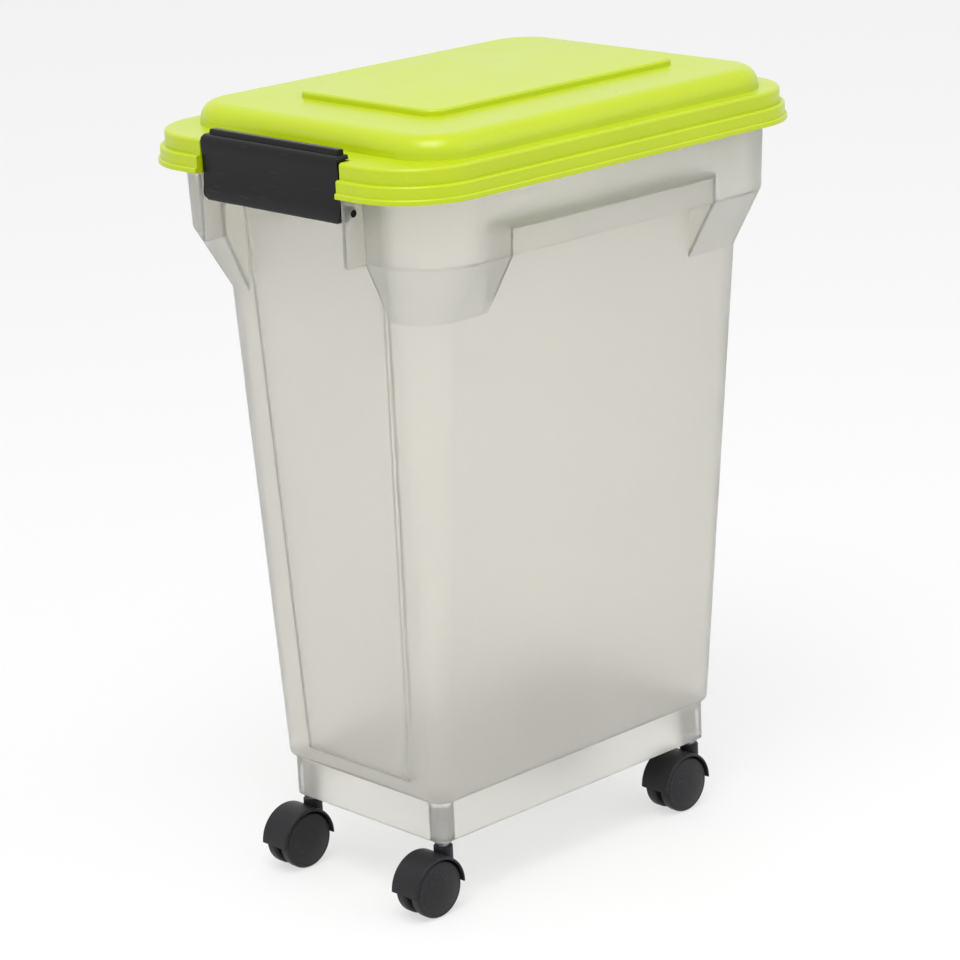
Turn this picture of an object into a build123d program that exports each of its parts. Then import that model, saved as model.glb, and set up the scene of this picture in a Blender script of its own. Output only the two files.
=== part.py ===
from build123d import *
import math
import os

# Pet food storage bin: a translucent tapered tub on four twin wheel casters, closed by a domed lid
# that two end latches hold down on a seal.
# Millimetres, +Z up, X along the long side. The origin is on the floor, under the middle of the bin.
os.makedirs("parts", exist_ok=True)

# Casters, which set the height of the skirt
wheel_radius = 20.0
wheel_width = 11.4
wheel_gap = 0.5
web_thickness = 4.4
web_boss_radius = 8.0
hood_gap = 1.2
hood_wall = 1.8
hood_fillet = 1.4
hood_width = 25.0
trail = 15.0
stem_radius = 4.0
stem_up = 20.0
stem_chamfer = 0.5
socket_radius = 5.0
socket_depth = 22.0
boss_radius = 7.6
collar_radius = 6.6
collar_height = 2.4
collar_fillet = 0.6
grip_ring_wall = 0.8
grip_ring_height = 9.0
neck_radius = 6.6
neck_gap = 2.6
neck_fillet = 0.6
swivel_clearance = 0.05
journal_depth = 6.5
seat_gap = 0.3
axle_radius = 2.5
axle_clearance = 0.05
axle_chamfer = 0.5
axle_in_wheel = 8.6
disc_crown = 2.4
disc_radius = 17.0
tread_fillet = 2.5
dish_inner = 7.0
dish_outer = 15.5
dish_depth = 6.0
skirt_over_wheels = 10.0

# Heights above the floor
skirt_bottom = 2 * wheel_radius + skirt_over_wheels
skirt_height = 28.0
skirt_top = skirt_bottom + skirt_height
shoulder_low = 413.0
shoulder_rise = 41.5
shoulder_high = shoulder_low + shoulder_rise
grip_pocket = 16.5
grip_roof = shoulder_high + grip_pocket
rim_rise = 61.5
rim_top = shoulder_high + rim_rise
lip_drop = 16.0
lip_bottom = rim_top - lip_drop
ledge_drop = 4.5
ledge_height = rim_top - ledge_drop
shelf_rise = 6.0
shelf_height = rim_top + shelf_rise
dome_rise = 15.0
dome_top = shelf_height + dome_rise
panel_rise = 4.5
panel_top = dome_top + panel_rise

# Tub outline at each level: half length, half width, corner radius
foot_half_x = 135.5
foot_half_y = 79.0
foot_radius = 12.0
skirt_step_x = 4.0
skirt_step_y = 4.1
skirt_half_x = foot_half_x - skirt_step_x
skirt_half_y = foot_half_y - skirt_step_y
skirt_radius = 8.0
taper_x = 17.9
taper_y = 23.5
waist_half_x = foot_half_x + taper_x
waist_half_y = foot_half_y + taper_y
waist_radius = 26.6
waist_shift = 4.0
shoulder_step_x = 14.6
shoulder_step_y = 25.7
shoulder_step_radius = 16.4
band_half_x = waist_half_x + shoulder_step_x
band_half_y = waist_half_y + shoulder_step_y
band_radius = waist_radius + shoulder_step_radius
rim_flare = 2.2

# Tub walls and details
tub_wall = 2.4
floor_thickness = 2.8
foot_fillet = 5.0
crease_fillet = 5.0
bay_fillet = 3.0
grip_fillet = 2.0
latch_bay_half = 67.0
channel_foot_half = 50.0
channel_foot_rise = 12.0
channel_foot = skirt_top + channel_foot_rise
channel_depth = 2.5
grip_half = 94.0
grip_lip = 2.6
stem_inset_x = 9.0
stem_inset_y = 8.9
stem_x = skirt_half_x - stem_inset_x
stem_y = skirt_half_y - stem_inset_y

# Latch, which turns in the holes of the ears
pivot_out = 9.0
pivot_x = band_half_x + pivot_out
pivot_drop = 27.0
pivot_height = rim_top - pivot_drop
pivot_boss_radius = 4.4
pivot_hole_radius = 2.5
pivot_clearance = 0.05
latch_stand = 8.0
latch_face = pivot_x + latch_stand
latch_plate = 3.6
latch_rise = 7.0
latch_height = shelf_height + latch_rise
latch_foot_drop = 7.0
latch_foot = pivot_height - latch_foot_drop
latch_hook = 5.0
latch_roll = 4.9
latch_corner = 6.0
latch_gap = 0.4
bay_gap = 1.0
latch_half = latch_bay_half - bay_gap
bay_headroom = 6.0
latch_roof = pivot_height + bay_headroom
ear_gap = 1.5
ear_thickness = 3.0
ear_past_pivot = 7.5
ear_reach = pivot_x + ear_past_pivot
ear_drop = 0.5

# Lid outline and section
lip_over_x = 21.5
lip_over_y = 11.2
lip_half_x = band_half_x + lip_over_x
lip_half_y = band_half_y + lip_over_y
lip_radius_over = 10.0
lip_radius = band_radius + lip_radius_over
lip_height = 3.6
lip_step = 1.5
lip_fillet = 1.35
ledge_step = 3.5
ledge_fillet = 2.1
shelf_width_x = 25.0
shelf_width_y = 13.9
dome_half_x = lip_half_x - shelf_width_x
dome_half_y = lip_half_y - shelf_width_y
dome_radius = 38.0
dome_shift = 6.0
dome_lean = 6.0
dome_fillet = 12.0
panel_half_x = 115.0
panel_half_y = 66.5
panel_radius = 12.0
panel_shift = 13.0
panel_fillet = 2.0
lid_wall = 2.4
notch_gap = 1.5
notch_half = latch_half + notch_gap
notch_wall = 3.4
plug_wall = 2.0
plug_depth = 11.0
seal_clearance = 0.3
rim_clearance = 1.0
overlap = 1.0


def rounded_block(sections):
    """A loft through rounded rectangles: (height, half x, half y, radius, shift along x)."""
    with BuildPart() as block:
        for height, half_x, half_y, radius, shift in sections:
            with BuildSketch(Plane.XY.offset(height)):
                with Locations((shift, 0)):
                    RectangleRounded(2 * half_x, 2 * half_y, radius)
        loft(ruled=True)
    return block.part


def waist_at(height, half_foot, half_waist):
    """The tapering wall's size at a height, carried on in line above the waist."""
    return half_foot + (half_waist - half_foot) * (height - skirt_top) / (shoulder_low - skirt_top)


def end_channel(side, inset):
    """The shallow channel down one end wall, from the latch bay to just above the foot."""
    with BuildPart() as channel:
        for height, half_width in ((channel_foot, channel_foot_half), (rim_top, latch_bay_half)):
            floor_x = waist_at(height, foot_half_x, waist_half_x) - channel_depth - inset
            middle = side * (floor_x + channel_depth * 2) + waist_at(height, 0, waist_shift)
            with BuildSketch(Plane.XY.offset(height - inset)):
                with Locations((middle, 0)):
                    Rectangle(channel_depth * 4, 2 * (half_width + inset))
        loft(ruled=True)
    return channel.part


def tapered_body(inset, bottom, top):
    """The tapering tub as a solid, made smaller all round by the inset."""
    sections = []
    for height in (bottom, top):
        sections.append((
            height,
            waist_at(height, foot_half_x, waist_half_x) - inset,
            waist_at(height, foot_half_y, waist_half_y) - inset,
            waist_at(height, foot_radius, waist_radius) - inset,
            waist_at(height, 0, waist_shift),
        ))
    with BuildPart() as taper:
        add(rounded_block(sections))
        if inset == 0:
            fillet(taper.faces().sort_by(Axis.Z)[0].edges(), foot_fillet)
        add(end_channel(-1, inset), mode=Mode.SUBTRACT)
        add(end_channel(1, inset), mode=Mode.SUBTRACT)
    return taper.part


def upright_edges(body, across, half, below):
    """The rising edges on the body's outside where a bay or grip of that half length begins."""
    found = []
    for edge in body.edges():
        low, high = edge.bounding_box().min, edge.bounding_box().max
        level = abs(abs(tuple(low)[across]) - half) < bay_fillet / 10
        level = level and abs(abs(tuple(high)[across]) - half) < bay_fillet / 10
        outside = max(abs(low.X), abs(high.X)) > waist_half_x or max(abs(low.Y), abs(high.Y)) > waist_half_y
        if level and outside and high.Z - low.Z > bay_fillet * 2 and high.Z < below + overlap:
            found.append(edge)
    return found


def shoulder_body(inset, top):
    """The corner shoulders and the band under the lid, with the bays between the corners taken out."""
    low = (
        shoulder_low + inset / 2,
        waist_half_x - inset,
        waist_half_y - inset,
        waist_radius - inset,
        waist_shift,
    )
    crease = (shoulder_high + inset / 2, band_half_x - inset, band_half_y - inset, band_radius - inset, 0)
    rim = (
        top,
        band_half_x + rim_flare - inset,
        band_half_y + rim_flare - inset,
        band_radius + rim_flare / 2 - inset,
        0,
    )
    grip_lip_face = band_half_y - grip_lip
    grip_reach = grip_lip_face if inset == 0 else lip_half_y
    with BuildPart() as shoulders:
        add(rounded_block([low, crease]))
        add(rounded_block([crease, rim]))
        if inset == 0:
            fold = shoulders.edges().filter_by(
                lambda edge: abs(edge.center().Z - shoulder_high) < crease_fillet / 10)
            fillet(fold, crease_fillet)
        # Latch bays at both ends, open outwards and below
        with BuildSketch(Plane.XY.offset(shoulder_low - tub_wall)):
            with Locations((-lip_half_x, 0), (lip_half_x, 0)):
                Rectangle(2 * (lip_half_x - foot_half_x), 2 * (latch_bay_half + inset))
        extrude(amount=latch_roof + inset - shoulder_low + tub_wall, mode=Mode.SUBTRACT)
        # Hand grips along both long sides: a pocket behind a hanging lip
        with BuildSketch(Plane.XY.offset(shoulder_low - tub_wall)):
            with Locations((0, -lip_half_y), (0, lip_half_y)):
                Rectangle(2 * (grip_half + inset), 2 * (lip_half_y - foot_half_y))
        extrude(amount=shoulder_high - shoulder_low + tub_wall, mode=Mode.SUBTRACT)
        with BuildSketch(Plane.XY.offset(shoulder_high)):
            with Locations((0, -(foot_half_y + grip_reach) / 2), (0, (foot_half_y + grip_reach) / 2)):
                Rectangle(2 * (grip_half + inset), grip_reach - foot_half_y)
        extrude(amount=grip_roof + inset - shoulder_high, mode=Mode.SUBTRACT)
        if inset == 0:
            fillet(upright_edges(shoulders, 1, latch_bay_half, rim_top), bay_fillet)
            fillet(upright_edges(shoulders, 0, grip_half, shoulder_high), grip_fillet)
    return shoulders.part


ear_middle = latch_half + ear_gap + ear_thickness / 2

outer_taper = tapered_body(0, skirt_top, rim_top)
outer_shoulders = shoulder_body(0, rim_top)
inner_taper = tapered_body(tub_wall, skirt_top + floor_thickness, rim_top + overlap)
inner_shoulders = shoulder_body(tub_wall, rim_top + overlap)

with BuildPart() as bin_body:
    add(outer_taper)
    add(outer_shoulders)
    # Skirt below the floor
    with BuildSketch(Plane.XY.offset(skirt_bottom)):
        RectangleRounded(2 * skirt_half_x, 2 * skirt_half_y, skirt_radius)
        RectangleRounded(
            2 * (skirt_half_x - tub_wall),
            2 * (skirt_half_y - tub_wall),
            skirt_radius - tub_wall,
            mode=Mode.SUBTRACT,
        )
    extrude(amount=skirt_height + overlap)
    add(inner_taper, mode=Mode.SUBTRACT)
    add(inner_shoulders, mode=Mode.SUBTRACT)
    # Caster sockets in the corners of the skirt
    with BuildSketch(Plane.XY.offset(skirt_bottom)):
        with GridLocations(2 * stem_x, 2 * stem_y, 2, 2):
            Circle(boss_radius)
    extrude(amount=skirt_height + overlap)
    with BuildSketch(Plane.XY.offset(skirt_bottom)):
        with GridLocations(2 * stem_x, 2 * stem_y, 2, 2):
            Circle(socket_radius)
    extrude(amount=socket_depth, mode=Mode.SUBTRACT)
    # Ears beside each latch bay, with the holes that the latch turns in
    with BuildSketch(Plane.XY.offset(shoulder_high)):
        with Locations(
            ((ear_reach + band_half_x - tub_wall) / 2, 0),
            (-(ear_reach + band_half_x - tub_wall) / 2, 0),
        ):
            with Locations((0, -ear_middle), (0, ear_middle)):
                Rectangle(ear_reach - band_half_x + tub_wall, ear_thickness)
    extrude(amount=lip_bottom - ear_drop - shoulder_high)
    with BuildSketch(Plane.XZ.offset(-ear_middle - ear_thickness)):
        with Locations((-pivot_x, pivot_height), (pivot_x, pivot_height)):
            Circle(pivot_hole_radius)
    extrude(amount=2 * (ear_middle + ear_thickness), mode=Mode.SUBTRACT)
bin_body.part.label = "bin_body"
export_step(bin_body.part, "parts/bin_body.step")


def lid_form(inset):
    """The lid's outside, or its inside when the inset is a wall."""
    upper_half_x = lip_half_x - lip_step - ledge_step
    upper_half_y = lip_half_y - lip_step - ledge_step
    upper_radius = lip_radius - lip_step - ledge_step
    with BuildPart() as form:
        if inset == 0:
            with BuildSketch(Plane.XY.offset(lip_bottom)):
                RectangleRounded(2 * lip_half_x, 2 * lip_half_y, lip_radius)
            extrude(amount=lip_height)
            fillet(form.edges().group_by(Axis.Z)[-1], lip_fillet)
        with BuildSketch(Plane.XY.offset(lip_bottom)):
            RectangleRounded(
                2 * (lip_half_x - lip_step - inset),
                2 * (lip_half_y - lip_step - inset),
                lip_radius - lip_step - inset,
            )
        extrude(amount=ledge_height - lip_bottom - inset)
        if inset == 0:
            fillet(form.edges().group_by(Axis.Z)[-1], lip_step)
        with BuildSketch(Plane.XY.offset(lip_bottom)):
            RectangleRounded(2 * (upper_half_x - inset), 2 * (upper_half_y - inset), upper_radius - inset)
        extrude(amount=shelf_height - lip_bottom - inset)
        if inset == 0:
            fillet(form.edges().group_by(Axis.Z)[-1], ledge_fillet)
        with BuildSketch(Plane.XY.offset(lip_bottom)):
            with Locations((dome_shift, 0)):
                RectangleRounded(2 * (dome_half_x - inset), 2 * (dome_half_y - inset), dome_radius - inset)
        extrude(amount=dome_top - lip_bottom - inset, taper=dome_lean)
        fillet(form.edges().group_by(Axis.Z)[-1], dome_fillet - inset / 2)
        with BuildSketch(Plane.XY.offset(shelf_height)):
            with Locations((panel_shift, 0)):
                RectangleRounded(2 * (panel_half_x - inset), 2 * (panel_half_y - inset), panel_radius - inset)
        extrude(amount=panel_top - shelf_height - inset)
        if inset == 0:
            fillet(form.edges().group_by(Axis.Z)[-1], panel_fillet)
    return form.part


lid_outside = lid_form(0)
lid_inside = lid_form(lid_wall)
notch_face = latch_face - 2 * latch_hook - latch_gap
rim_outer_x = band_half_x + rim_flare
rim_outer_y = band_half_y + rim_flare
rim_outer_radius = band_radius + rim_flare / 2
plug_outer_x = rim_outer_x - tub_wall - 2 * seal_clearance - rim_clearance
plug_outer_y = rim_outer_y - tub_wall - 2 * seal_clearance - rim_clearance
plug_radius = rim_outer_radius - tub_wall - 2 * seal_clearance - rim_clearance
seat_height = shelf_height - lid_wall

with BuildPart() as plug_ring:
    with BuildSketch(Plane.XY.offset(seat_height - plug_depth)):
        RectangleRounded(2 * plug_outer_x, 2 * plug_outer_y, plug_radius)
        RectangleRounded(
            2 * (plug_outer_x - plug_wall),
            2 * (plug_outer_y - plug_wall),
            plug_radius - plug_wall,
            mode=Mode.SUBTRACT,
        )
    extrude(amount=plug_depth + dome_top - shelf_height)
    add(lid_outside, mode=Mode.INTERSECT)

with BuildPart() as notch_walls:
    with BuildSketch(Plane.XY.offset(lip_bottom)):
        with Locations((-lip_half_x, 0), (lip_half_x, 0)):
            Rectangle(2 * (lip_half_x - notch_face + notch_wall), 2 * (notch_half + notch_wall))
    extrude(amount=shelf_height - lip_bottom)
    add(lid_outside, mode=Mode.INTERSECT)

with BuildPart() as lid:
    add(lid_outside)
    add(lid_inside, mode=Mode.SUBTRACT)
    add(plug_ring.part)
    add(notch_walls.part)
    # The notches that the latches close into
    with BuildSketch(Plane.XY.offset(lip_bottom - overlap)):
        with Locations((-lip_half_x, 0), (lip_half_x, 0)):
            Rectangle(2 * (lip_half_x - notch_face), 2 * notch_half)
    extrude(amount=dome_top - lip_bottom, mode=Mode.SUBTRACT)
lid.part.label = "lid"
export_step(lid.part, "parts/lid.step")

with BuildPart() as lid_seal:
    with BuildSketch(Plane.XY.offset(rim_top)):
        RectangleRounded(
            2 * (rim_outer_x + rim_clearance - seal_clearance),
            2 * (rim_outer_y + rim_clearance - seal_clearance),
            rim_outer_radius + rim_clearance - seal_clearance,
        )
        RectangleRounded(
            2 * (plug_outer_x + seal_clearance),
            2 * (plug_outer_y + seal_clearance),
            plug_radius + seal_clearance,
            mode=Mode.SUBTRACT,
        )
    extrude(amount=seat_height - rim_top)
lid_seal.part.label = "lid_seal"
export_step(lid_seal.part, "parts/lid_seal.step")

# The latches: a curved plate with a hook along its top and a turning boss along its foot
for side, name in ((-1, "latch_left"), (1, "latch_right")):
    face = latch_face
    inner = face - latch_plate
    with BuildPart() as latch:
        with BuildSketch(Plane.XZ.offset(-latch_half)):
            with BuildLine():
                Polyline(
                    (side * face, latch_height),
                    (side * (face - 2 * latch_hook), latch_height),
                    (side * (face - 2 * latch_hook), latch_height - latch_hook),
                    (side * inner, latch_height - latch_hook),
                    (side * inner, pivot_height + pivot_boss_radius),
                    (side * pivot_x, pivot_height + pivot_boss_radius),
                    (side * pivot_x, latch_foot),
                    (side * face, latch_foot),
                    close=True,
                )
            make_face()
            with Locations((side * pivot_x, pivot_height)):
                Circle(pivot_boss_radius)
        extrude(amount=2 * latch_half)
        rolls = latch.edges().filter_by(Axis.Y).filter_by(
            lambda edge: abs(abs(edge.center().X) - face) < latch_gap)
        fillet(rolls, latch_roll)
        with BuildSketch(Plane.YZ.offset(side * face)):
            with Locations((0, (latch_height + latch_foot) / 2)):
                RectangleRounded(2 * latch_half, latch_height - latch_foot, latch_corner)
        extrude(amount=-side * 3 * latch_hook, mode=Mode.INTERSECT)
        with BuildSketch(Plane.XZ.offset(-ear_middle - ear_thickness / 2)):
            with Locations((side * pivot_x, pivot_height)):
                Circle(pivot_hole_radius - pivot_clearance)
        extrude(amount=2 * ear_middle + ear_thickness)
    latch.part.label = name
    export_step(latch.part, f"parts/{name}.step")

# The casters, one in each corner of the skirt, all trailing towards the left end
corners = {
    "front_left": (-stem_x, -stem_y),
    "front_right": (stem_x, -stem_y),
    "rear_left": (-stem_x, stem_y),
    "rear_right": (stem_x, stem_y),
}
hood_inner = wheel_radius + hood_gap
hood_outer = hood_inner + hood_wall
collar_bottom = skirt_bottom - collar_height
neck_top = collar_bottom - neck_gap
journal_end = neck_top - journal_depth
axle_half = web_thickness / 2 + wheel_gap + axle_in_wheel
crown_radius = (disc_radius**2 + disc_crown**2) / (2 * disc_crown)

for corner, (x, y) in corners.items():
    axle_x = x - trail

    with BuildPart() as stem:
        with BuildSketch(Plane.XY.offset(journal_end)):
            with Locations((x, y)):
                Circle(stem_radius)
        extrude(amount=skirt_bottom + stem_up - journal_end)
        chamfer(stem.edges().filter_by(GeomType.CIRCLE), stem_chamfer)
        with BuildSketch(Plane.XY.offset(collar_bottom)):
            with Locations((x, y)):
                Circle(collar_radius)
        extrude(amount=collar_height)
        fillet(stem.edges().filter_by(GeomType.CIRCLE).filter_by(
            lambda edge: edge.radius > collar_radius - 0.1), collar_fillet)
    stem.part.label = f"stem_{corner}"
    export_step(stem.part, f"parts/stem_{corner}.step")

    with BuildPart() as grip_ring:
        with BuildSketch(Plane.XY.offset(skirt_bottom + stem_up / 2 - grip_ring_height / 2)):
            with Locations((x, y)):
                Circle(socket_radius - swivel_clearance)
                Circle(socket_radius - swivel_clearance - grip_ring_wall, mode=Mode.SUBTRACT)
        extrude(amount=grip_ring_height)
        with BuildSketch(Plane.XY.offset(skirt_bottom)):
            with Locations((x + socket_radius, y)):
                Rectangle(2 * socket_radius, grip_ring_wall)
        extrude(amount=stem_up, mode=Mode.SUBTRACT)
    grip_ring.part.label = f"grip_ring_{corner}"
    export_step(grip_ring.part, f"parts/grip_ring_{corner}.step")

    with BuildPart() as hood:
        # Shroud over the upper half of both wheels, with the neck standing on it
        with BuildSketch(Plane.XZ.offset(-y - hood_width / 2)):
            with Locations((axle_x, wheel_radius)):
                Circle(hood_outer)
            with Locations((axle_x, wheel_radius - hood_outer)):
                Rectangle(2 * hood_outer, 2 * hood_outer, mode=Mode.SUBTRACT)
        extrude(amount=hood_width)
        fillet(hood.edges().filter_by(GeomType.CIRCLE), hood_fillet)
        with BuildSketch(Plane.XY.offset(wheel_radius + hood_inner / 2)):
            with Locations((x, y)):
                Circle(neck_radius)
        extrude(amount=neck_top - wheel_radius - hood_inner / 2)
        fillet(hood.edges().filter_by(GeomType.CIRCLE).sort_by(Axis.Z)[-1], neck_fillet)
        with BuildSketch(Plane.XZ.offset(-y - hood_width / 2)):
            with Locations((axle_x, wheel_radius)):
                Circle(hood_inner)
        extrude(amount=hood_width, mode=Mode.SUBTRACT)
        # Web between the wheels, round the axle
        with BuildSketch(Plane.XZ.offset(-y - web_thickness / 2)):
            with Locations((axle_x, wheel_radius)):
                Circle(hood_inner + hood_wall / 2)
            with Locations((axle_x, wheel_radius - hood_outer)):
                Rectangle(2 * hood_outer, 2 * hood_outer, mode=Mode.SUBTRACT)
            with Locations((axle_x, wheel_radius)):
                Circle(web_boss_radius)
        extrude(amount=web_thickness)
        with BuildSketch(Plane.XZ.offset(-y - web_thickness / 2)):
            with Locations((axle_x, wheel_radius)):
                Circle(axle_radius)
        extrude(amount=web_thickness, mode=Mode.SUBTRACT)
        with BuildSketch(Plane.XY.offset(journal_end - seat_gap)):
            with Locations((x, y)):
                Circle(stem_radius + swivel_clearance)
        extrude(amount=neck_top - journal_end + seat_gap, mode=Mode.SUBTRACT)
    hood.part.label = f"hood_{corner}"
    export_step(hood.part, f"parts/hood_{corner}.step")

    with BuildPart() as axle:
        with BuildSketch(Plane.XZ.offset(-y - axle_half)):
            with Locations((axle_x, wheel_radius)):
                Circle(axle_radius)
        extrude(amount=2 * axle_half)
        chamfer(axle.edges(), axle_chamfer)
    axle.part.label = f"axle_{corner}"
    export_step(axle.part, f"parts/axle_{corner}.step")

    outward = math.copysign(1, y)
    inner_face = web_thickness / 2 + wheel_gap
    outer_face = inner_face + wheel_width
    crown_middle = outer_face - crown_radius
    for side_out, place in ((outward, "outer"), (-outward, "inner")):
        section = Plane(
            origin=(axle_x, y, wheel_radius),
            x_dir=(0, side_out, 0),
            z_dir=(side_out, 0, 0),
        )
        with BuildPart() as wheel:
            with BuildSketch(section):
                with BuildLine():
                    Polyline(
                        (outer_face, 0),
                        (inner_face, 0),
                        (inner_face, wheel_radius),
                        (outer_face - disc_crown, wheel_radius),
                        (outer_face - disc_crown, disc_radius),
                    )
                    ThreePointArc(
                        (outer_face - disc_crown, disc_radius),
                        (crown_middle + math.sqrt(crown_radius**2 - disc_radius**2 / 4), disc_radius / 2),
                        (outer_face, 0),
                    )
                make_face()
                with Locations(((inner_face + dish_depth / 2), (dish_inner + dish_outer) / 2)):
                    Rectangle(dish_depth, dish_outer - dish_inner, mode=Mode.SUBTRACT)
                with Locations(((inner_face + axle_in_wheel / 2 + seat_gap / 2), 0)):
                    Rectangle(
                        axle_in_wheel + seat_gap,
                        2 * (axle_radius + axle_clearance),
                        mode=Mode.SUBTRACT,
                    )
            revolve(axis=Axis((axle_x, y, wheel_radius), (0, 1, 0)))
            tread = wheel.edges().filter_by(GeomType.CIRCLE).filter_by(
                lambda edge: edge.radius > wheel_radius - 0.01)
            fillet(tread, tread_fillet)
        wheel.part.label = f"wheel_{place}_{corner}"
        export_step(wheel.part, f"parts/wheel_{place}_{corner}.step")
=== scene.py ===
import math
import bmesh
import bpy
from mathutils import Matrix, Vector


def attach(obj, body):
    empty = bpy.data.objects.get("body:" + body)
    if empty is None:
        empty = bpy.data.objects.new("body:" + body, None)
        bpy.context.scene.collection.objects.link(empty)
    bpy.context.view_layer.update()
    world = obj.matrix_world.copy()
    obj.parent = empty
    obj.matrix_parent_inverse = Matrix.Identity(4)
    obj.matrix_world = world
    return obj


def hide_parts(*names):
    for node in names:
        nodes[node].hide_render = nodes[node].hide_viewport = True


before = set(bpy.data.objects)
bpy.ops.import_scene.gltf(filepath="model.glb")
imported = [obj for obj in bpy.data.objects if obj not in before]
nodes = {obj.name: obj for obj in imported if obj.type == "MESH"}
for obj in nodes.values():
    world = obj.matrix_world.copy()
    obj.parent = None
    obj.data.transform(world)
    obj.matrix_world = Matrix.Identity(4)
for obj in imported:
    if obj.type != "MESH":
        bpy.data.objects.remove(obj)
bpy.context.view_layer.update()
print("frame loaded", len(nodes), "nodes")

# The camera stands where the picture was taken from: its place in metres and its own three directions
cameraSettings = {
    "place": (-1.5746, -1.6422, 0.9439),
    "right": (0.71502, -0.69790, -0.04105),
    "up": (0.22938, 0.17872, 0.95679),
    "back": (-0.66040, -0.69355, 0.28787),
    "lens": 128.8,
    "sensor": 36.0,
}
cameraData = bpy.data.cameras.new("photo camera")
cameraData.lens = cameraSettings["lens"]
cameraData.sensor_width = cameraSettings["sensor"]
camera = bpy.data.objects.new("photo camera", cameraData)
cameraTurn = Matrix((cameraSettings["right"], cameraSettings["up"], cameraSettings["back"])).transposed()
camera.matrix_world = Matrix.Translation(cameraSettings["place"]) @ cameraTurn.to_4x4()
bpy.context.scene.collection.objects.link(camera)
bpy.context.scene.camera = camera
bpy.context.scene.view_settings.view_transform = "Standard"
print("camera placed")


# Short calls that the node trees are put together with
def newMaterial(name):
    material = bpy.data.materials.new(name)
    material.use_nodes = True
    tree = material.node_tree
    return material, tree, tree.nodes["Principled BSDF"]


def addNode(tree, kind, **values):
    node = tree.nodes.new(kind)
    for name, value in values.items():
        setattr(node, name, value)
    return node


def feed(tree, node, socket, value):
    if isinstance(value, bpy.types.NodeSocket):
        tree.links.new(value, node.inputs[socket])
    else:
        node.inputs[socket].default_value = value


def groupWith(name, inputs, outputs):
    group = bpy.data.node_groups.new(name, "ShaderNodeTree")
    for title, kind, value in inputs:
        socket = group.interface.new_socket(name=title, in_out="INPUT", socket_type=kind)
        socket.default_value = value
    for title, kind in outputs:
        group.interface.new_socket(name=title, in_out="OUTPUT", socket_type=kind)
    start = group.nodes.new("NodeGroupInput")
    end = group.nodes.new("NodeGroupOutput")
    return group, start, end


# Fine grain of moulded plastic and a slow drift over it: a mask for the colour, a roughness and a height
grainSettings = {"fineDetail": 3.0, "slowDetail": 4.0, "driftLow": 0.3, "driftHigh": 0.7}
mouldGrain, grainIn, grainOut = groupWith(
    "mould grain",
    [
        ("Grain Scale", "NodeSocketFloat", 900.0),
        ("Drift Scale", "NodeSocketFloat", 9.0),
        ("Rough Low", "NodeSocketFloat", 0.3),
        ("Rough High", "NodeSocketFloat", 0.45),
    ],
    [("Drift", "NodeSocketFloat"), ("Roughness", "NodeSocketFloat"), ("Height", "NodeSocketFloat")],
)
grainSpace = addNode(mouldGrain, "ShaderNodeTexCoord")
grainFine = addNode(mouldGrain, "ShaderNodeTexNoise")
feed(mouldGrain, grainFine, "Vector", grainSpace.outputs["Object"])
feed(mouldGrain, grainFine, "Scale", grainIn.outputs["Grain Scale"])
feed(mouldGrain, grainFine, "Detail", grainSettings["fineDetail"])
grainSlow = addNode(mouldGrain, "ShaderNodeTexNoise")
feed(mouldGrain, grainSlow, "Vector", grainSpace.outputs["Object"])
feed(mouldGrain, grainSlow, "Scale", grainIn.outputs["Drift Scale"])
feed(mouldGrain, grainSlow, "Detail", grainSettings["slowDetail"])
grainRange = addNode(mouldGrain, "ShaderNodeMapRange")
feed(mouldGrain, grainRange, "Value", grainSlow.outputs["Fac"])
feed(mouldGrain, grainRange, "From Min", grainSettings["driftLow"])
feed(mouldGrain, grainRange, "From Max", grainSettings["driftHigh"])
feed(mouldGrain, grainRange, "To Min", grainIn.outputs["Rough Low"])
feed(mouldGrain, grainRange, "To Max", grainIn.outputs["Rough High"])
feed(mouldGrain, grainOut, "Drift", grainSlow.outputs["Fac"])
feed(mouldGrain, grainOut, "Roughness", grainRange.outputs["Result"])
feed(mouldGrain, grainOut, "Height", grainFine.outputs["Fac"])

# Handling marks: a mask of thin streaks, drawn out along one direction
marksSettings = {"detail": 5.0, "from": 0.62, "full": 0.74}
handMarks, marksIn, marksOut = groupWith(
    "handling marks",
    [("Amount", "NodeSocketFloat", 0.3), ("Stretch", "NodeSocketVector", (40.0, 400.0, 400.0))],
    [("Marks", "NodeSocketFloat")],
)
marksSpace = addNode(handMarks, "ShaderNodeTexCoord")
marksMap = addNode(handMarks, "ShaderNodeMapping")
feed(handMarks, marksMap, "Vector", marksSpace.outputs["Object"])
feed(handMarks, marksMap, "Scale", marksIn.outputs["Stretch"])
marksNoise = addNode(handMarks, "ShaderNodeTexNoise")
feed(handMarks, marksNoise, "Vector", marksMap.outputs["Vector"])
feed(handMarks, marksNoise, "Scale", 1.0)
feed(handMarks, marksNoise, "Detail", marksSettings["detail"])
marksRange = addNode(handMarks, "ShaderNodeMapRange")
feed(handMarks, marksRange, "Value", marksNoise.outputs["Fac"])
feed(handMarks, marksRange, "From Min", marksSettings["from"])
feed(handMarks, marksRange, "From Max", marksSettings["full"])
marksTimes = addNode(handMarks, "ShaderNodeMath", operation="MULTIPLY")
feed(handMarks, marksTimes, 0, marksRange.outputs["Result"])
feed(handMarks, marksTimes, 1, marksIn.outputs["Amount"])
feed(handMarks, marksOut, "Marks", marksTimes.outputs["Value"])


def grainOf(tree, look):
    grain = addNode(tree, "ShaderNodeGroup", node_tree=mouldGrain)
    feed(tree, grain, "Grain Scale", look["grain"])
    feed(tree, grain, "Drift Scale", look["drift"])
    feed(tree, grain, "Rough Low", look["roughLow"])
    feed(tree, grain, "Rough High", look["roughHigh"])
    return grain


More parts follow.
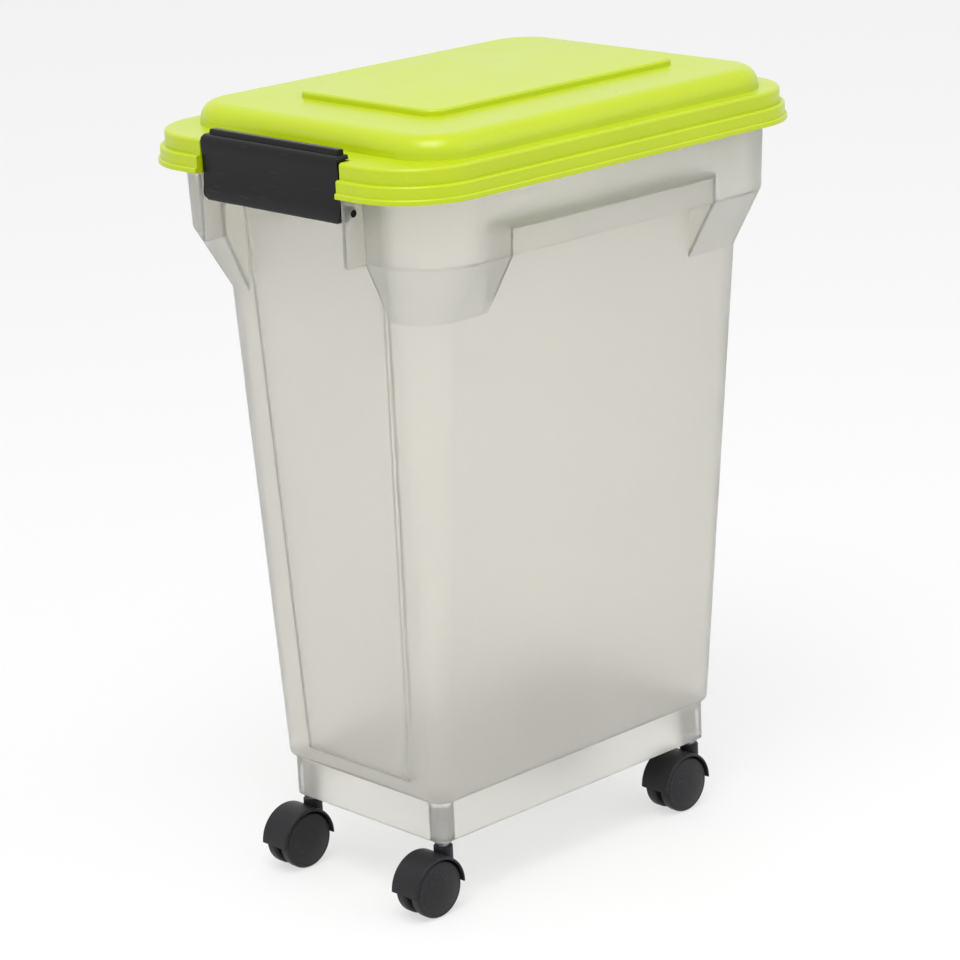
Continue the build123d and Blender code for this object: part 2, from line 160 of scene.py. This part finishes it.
def mixColours(tree, mask, low, high):
    blend = addNode(tree, "ShaderNodeMix", data_type="RGBA")
    feed(tree, blend, "Factor", mask)
    feed(tree, blend, "A", low)
    feed(tree, blend, "B", high)
    return blend.outputs["Result"]


def scuffed(tree, colour, look):
    marks = addNode(tree, "ShaderNodeGroup", node_tree=handMarks)
    feed(tree, marks, "Amount", look["scuffAmount"])
    feed(tree, marks, "Stretch", look["scuffStretch"])
    return mixColours(tree, marks.outputs["Marks"], colour, look["scuff"])


def bumpOf(tree, height, look):
    bump = addNode(tree, "ShaderNodeBump")
    feed(tree, bump, "Height", height)
    feed(tree, bump, "Strength", look["bump"])
    feed(tree, bump, "Distance", look["bumpDeep"])
    return bump.outputs["Normal"]


# A colour as a screen shows it, 0 to 255, turned by the screen's own curve (sRGB) into the linear values
# that the shader takes
def linear(red, green, blue):
    out = []
    for part in (red, green, blue):
        part = part / 255
        out.append(part / 12.92 if part <= 0.04045 else ((part + 0.055) / 1.055) ** 2.4)
    return (*out, 1.0)


# One finish: drifting colour, streaks where hands and floor rub it, grain in its roughness and bump.
# Extras are sockets of the shader that this finish alone sets.
def makeFinish(name, look):
    material, tree, shader = newMaterial(name)
    grain = grainOf(tree, look)
    colour = mixColours(tree, grain.outputs["Drift"], look["dark"], look["light"])
    if "scuff" in look:
        colour = scuffed(tree, colour, look)
    feed(tree, shader, "Base Color", colour)
    feed(tree, shader, "Roughness", grain.outputs["Roughness"])
    feed(tree, shader, "Normal", bumpOf(tree, grain.outputs["Height"], look))
    for socket, value in look["extras"].items():
        feed(tree, shader, socket, value)
    return material


# Milky polypropylene that light passes through; its roughness stays above a third, where it blurs evenly
tubLook = {
    "dark": linear(253, 250, 242),
    "light": linear(255, 254, 249),
    "grain": 160.0,
    "drift": 7.0,
    "roughLow": 0.34,
    "roughHigh": 0.40,
    "bump": 0.05,
    "bumpDeep": 0.0004,
    "scuff": linear(246, 246, 242),
    "scuffAmount": 0.3,
    "scuffStretch": (500.0, 500.0, 45.0),
    "extras": {
        "IOR": 1.49,
        "Transmission Weight": 0.88,
        "Subsurface Weight": 0.8,
        "Subsurface Radius": (0.010, 0.010, 0.009),
    },
}
tubPlastic = makeFinish("tub polypropylene", tubLook)

lidLook = {
    "dark": linear(178, 196, 2),
    "light": linear(190, 208, 14),
    "grain": 800.0,
    "drift": 11.0,
    "roughLow": 0.26,
    "roughHigh": 0.36,
    "bump": 0.15,
    "bumpDeep": 0.0003,
    "scuff": linear(206, 222, 70),
    "scuffAmount": 0.35,
    "scuffStretch": (500.0, 60.0, 500.0),
    "extras": {"Subsurface Weight": 0.15, "Subsurface Radius": (0.004, 0.004, 0.002)},
}
lidPlastic = makeFinish("lid polypropylene", lidLook)

latchLook = {
    "dark": linear(10, 10, 11),
    "light": linear(18, 18, 19),
    "grain": 1200.0,
    "drift": 20.0,
    "roughLow": 0.22,
    "roughHigh": 0.32,
    "bump": 0.2,
    "bumpDeep": 0.0002,
    "scuff": linear(60, 60, 62),
    "scuffAmount": 0.3,
    "scuffStretch": (500.0, 50.0, 500.0),
    "extras": {"Specular IOR Level": 0.22},
}
latchPlastic = makeFinish("latch plastic", latchLook)

hoodLook = {
    "dark": linear(26, 26, 28),
    "light": linear(38, 38, 41),
    "grain": 1500.0,
    "drift": 30.0,
    "roughLow": 0.38,
    "roughHigh": 0.5,
    "bump": 0.25,
    "bumpDeep": 0.0002,
    "scuff": linear(74, 74, 76),
    "scuffAmount": 0.35,
    "scuffStretch": (120.0, 700.0, 700.0),
    "extras": {"Specular IOR Level": 0.24},
}
hoodPlastic = makeFinish("caster nylon", hoodLook)

wheelLook = {
    "dark": linear(28, 28, 30),
    "light": linear(42, 42, 45),
    "grain": 1500.0,
    "drift": 40.0,
    "roughLow": 0.4,
    "roughHigh": 0.55,
    "bump": 0.25,
    "bumpDeep": 0.0002,
    "scuff": linear(84, 83, 80),
    "scuffAmount": 0.45,
    "scuffStretch": (700.0, 160.0, 700.0),
    "extras": {"Specular IOR Level": 0.24},
}
wheelPlastic = makeFinish("wheel plastic", wheelLook)

steelLook = {
    "dark": linear(150, 152, 156),
    "light": linear(186, 188, 192),
    "grain": 900.0,
    "drift": 60.0,
    "roughLow": 0.25,
    "roughHigh": 0.4,
    "bump": 0.1,
    "bumpDeep": 0.0001,
    "extras": {"Metallic": 1.0},
}
zincSteel = makeFinish("zinc plated steel", steelLook)

sealLook = {
    "dark": linear(188, 188, 182),
    "light": linear(206, 206, 200),
    "grain": 1500.0,
    "drift": 40.0,
    "roughLow": 0.5,
    "roughHigh": 0.65,
    "bump": 0.3,
    "bumpDeep": 0.0002,
    "extras": {},
}
sealRubber = makeFinish("seal rubber", sealLook)

# The start of a node's name says what it is made of; the longest start that fits counts
finishFor = {
    "bin_body": tubPlastic,
    "lid": lidPlastic,
    "lid_seal": sealRubber,
    "latch": latchPlastic,
    "hood": hoodPlastic,
    "wheel": wheelPlastic,
    "stem": zincSteel,
    "axle": zincSteel,
    "grip_ring": zincSteel,
}
for name, node in nodes.items():
    fits = [key for key in finishFor if name.startswith(key)]
    node.data.materials.clear()
    node.data.materials.append(finishFor[max(fits, key=len)])
print("materials made")

# Each latch is one moulding: a hollowed face, a roll along its top with the hook lip standing behind it,
# and the turning boss with its two stubs. Millimetres; the profile is inwards from the face, and height.
latchShape = {
    "face": 185.0,
    "profile": [
        (8.0, 482.0), (2.8, 482.0), (0.9, 482.7), (0.0, 484.6), (0.5, 492.0), (0.9, 500.0), (0.9, 508.0),
        (0.5, 516.0), (0.0, 521.6), (0.5, 523.8), (2.1, 525.3), (4.4, 525.7), (4.7, 528.2), (5.5, 529.0),
        (9.3, 529.0), (10.0, 528.3), (10.0, 524.4), (5.2, 523.6), (4.0, 522.2), (3.6, 519.5), (3.6, 493.4),
        (8.0, 493.4), (10.2, 492.8), (11.8, 491.2), (12.4, 489.0), (11.8, 486.8), (10.2, 485.2), (8.0, 484.6),
    ],
    "half": 66.0,  # half the length of the face
    "corner": 6.0,  # radius of the face's corners, drawn in so many steps
    "cornerSteps": 6,
    "lipHalf": 61.8,  # the hook lip ends here, with a short ease down to the roll
    "lipEase": 0.6,
    "lipFoot": 525.7,
    "foot": 482.0,
    "top": 529.0,
    "stubRadius": 2.45,
    "stubSides": 28,
    "stubFrom": 62.0,
    "stubTo": 70.5,
    "stubIn": 8.0,
    "stubHeight": 489.0,
    "crease": 38.0,  # degrees; a sharper edge stays sharp
}
slack = 0.01  # millimetres, for telling which end a point or a face belongs to
weld = 1e-6  # metres, within which two points are one
millimetre = 0.001  # in metres


def latchPiece(name, side):
    shape = latchShape
    stations = [shape["lipHalf"], shape["lipHalf"] - shape["lipEase"]]
    for step in range(shape["cornerSteps"] + 1):
        angle = math.pi / 2 * step / shape["cornerSteps"]
        stations.append(shape["half"] - shape["corner"] * (1 - math.cos(angle)))
    stations = sorted({round(-y, 3) for y in stations} | {round(y, 3) for y in stations})
    # The profile stands at one end, and is pushed along through the stations
    mould = bmesh.new()
    ring = [mould.verts.new((side * (shape["face"] - inward), stations[0], height))
            for inward, height in shape["profile"]]
    cap = mould.faces.new(ring)
    for before, after in zip(stations, stations[1:]):
        pushed = bmesh.ops.extrude_face_region(mould, geom=[cap])["geom"]
        cap = [part for part in pushed if isinstance(part, bmesh.types.BMFace)][0]
        bmesh.ops.translate(mould, verts=cap.verts[:], vec=(0, after - before, 0))
    inner = []
    for face in mould.faces:
        if len(face.verts) > 4 and abs(face.calc_center_median().y) < shape["half"] - slack:
            inner.append(face)
    bmesh.ops.delete(mould, geom=inner, context="FACES_ONLY")
    # The face's corners are rounded, and the lip is kept short of the ends
    for vert in mould.verts:
        past = max(0.0, abs(vert.co.y) - shape["half"] + shape["corner"])
        cut = shape["corner"] - math.sqrt(max(0.0, shape["corner"] ** 2 - past ** 2))
        vert.co.z = min(max(vert.co.z, shape["foot"] + cut), shape["top"] - cut)
        if abs(vert.co.y) > shape["lipHalf"] - slack:
            vert.co.z = min(vert.co.z, shape["lipFoot"])
    stubLength = shape["stubTo"] - shape["stubFrom"]
    for end in (-1, 1):
        made = bmesh.ops.create_cone(mould, cap_ends=True, segments=shape["stubSides"], depth=stubLength,
                                     radius1=shape["stubRadius"], radius2=shape["stubRadius"])
        stub = made["verts"]
        bmesh.ops.rotate(mould, verts=stub, cent=(0, 0, 0), matrix=Matrix.Rotation(math.pi / 2, 3, "X"))
        middle = (side * (shape["face"] - shape["stubIn"]), end * (shape["stubFrom"] + stubLength / 2),
                  shape["stubHeight"])
        bmesh.ops.translate(mould, verts=stub, vec=middle)
    bmesh.ops.scale(mould, vec=(millimetre, millimetre, millimetre), verts=mould.verts[:])
    bmesh.ops.remove_doubles(mould, verts=mould.verts[:], dist=weld)
    bmesh.ops.dissolve_degenerate(mould, edges=mould.edges[:], dist=weld)
    bmesh.ops.recalc_face_normals(mould, faces=mould.faces[:])
    mesh = bpy.data.meshes.new(name)
    mould.to_mesh(mesh)
    mould.free()
    for polygon in mesh.polygons:
        polygon.use_smooth = True
    mesh.set_sharp_from_angle(angle=math.radians(shape["crease"]))
    mesh.materials.append(latchPlastic)
    piece = bpy.data.objects.new(name, mesh)
    bpy.context.scene.collection.objects.link(piece)
    return piece


for body, side in (("latch_left", -1), ("latch_right", 1)):
    piece = latchPiece(body + "_moulding", side)
    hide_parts(body)
    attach(piece, body)
print("latches moulded")

white = (1.0, 1.0, 1.0, 1.0)


# One for rays that come straight from the camera, mirrored off a piece or through the tub, which see plain
# white, and nothing for the rays that light the object
def seenDirectly(tree):
    rays = addNode(tree, "ShaderNodeLightPath")
    seen = rays.outputs["Is Camera Ray"]
    for kind in ("Is Glossy Ray", "Is Transmission Ray"):
        either = addNode(tree, "ShaderNodeMath", operation="MAXIMUM")
        feed(tree, either, 0, seen)
        feed(tree, either, 1, rays.outputs[kind])
        seen = either.outputs["Value"]
    return seen


# A matt pale floor. A share of it glows for the rays that see it, and the rest keeps the object's shadow.
floorSettings = {"half": 12.0, "colour": (0.9, 0.9, 0.9, 1.0), "roughness": 0.9, "glow": 0.6}
floorShape = bmesh.new()
bmesh.ops.create_grid(floorShape, x_segments=2, y_segments=2, size=floorSettings["half"])
floorMesh = bpy.data.meshes.new("floor")
floorShape.to_mesh(floorMesh)
floorShape.free()
floor = bpy.data.objects.new("floor", floorMesh)
bpy.context.scene.collection.objects.link(floor)
floorFinish, tree, shader = newMaterial("floor white")
feed(tree, shader, "Base Color", floorSettings["colour"])
feed(tree, shader, "Roughness", floorSettings["roughness"])
floorShare = addNode(tree, "ShaderNodeMath", operation="MULTIPLY")
feed(tree, floorShare, 0, seenDirectly(tree))
feed(tree, floorShare, 1, floorSettings["glow"])
floorGlow = addNode(tree, "ShaderNodeEmission")
feed(tree, floorGlow, "Color", white)
feed(tree, floorGlow, "Strength", 1.0)
floorMix = addNode(tree, "ShaderNodeMixShader")
feed(tree, floorMix, 0, floorShare.outputs["Value"])
feed(tree, floorMix, 1, shader.outputs["BSDF"])
feed(tree, floorMix, 2, floorGlow.outputs["Emission"])
feed(tree, tree.nodes["Material Output"], "Surface", floorMix.outputs["Shader"])
floorMesh.materials.append(floorFinish)

# Even white light from all round, under a plain white sky
skySettings = {"light": 0.74, "picture": 1.0}
world = bpy.context.scene.world or bpy.data.worlds.new("room light")
bpy.context.scene.world = world
world.use_nodes = True
tree = world.node_tree
tree.nodes.clear()
skies = []
for strength in (skySettings["light"], skySettings["picture"]):
    sky = addNode(tree, "ShaderNodeBackground")
    feed(tree, sky, "Color", white)
    feed(tree, sky, "Strength", strength)
    skies.append(sky)
skyMix = addNode(tree, "ShaderNodeMixShader")
feed(tree, skyMix, 0, seenDirectly(tree))
feed(tree, skyMix, 1, skies[0].outputs["Background"])
feed(tree, skyMix, 2, skies[1].outputs["Background"])
feed(tree, addNode(tree, "ShaderNodeOutputWorld"), "Surface", skyMix.outputs["Shader"])

# Two large soft lamps that both aim at the middle of the tub
lamps = {
    "key": {"place": (-1.1, -0.7, 2.8), "size": 1.6, "power": 44.0},
    "fill": {"place": (1.2, -2.2, 1.6), "size": 2.0, "power": 10.0},
}
lampTarget = Vector((0, 0, 0.3))
for name, values in lamps.items():
    lampData = bpy.data.lights.new(name, "AREA")
    lampData.shape = "SQUARE"
    lampData.size = values["size"]
    lampData.energy = values["power"]
    lamp = bpy.data.objects.new(name, lampData)
    aim = (lampTarget - Vector(values["place"])).to_track_quat("-Z", "Y")
    lamp.matrix_world = Matrix.Translation(values["place"]) @ aim.to_matrix().to_4x4()
    bpy.context.scene.collection.objects.link(lamp)
print("floor and lamps placed")
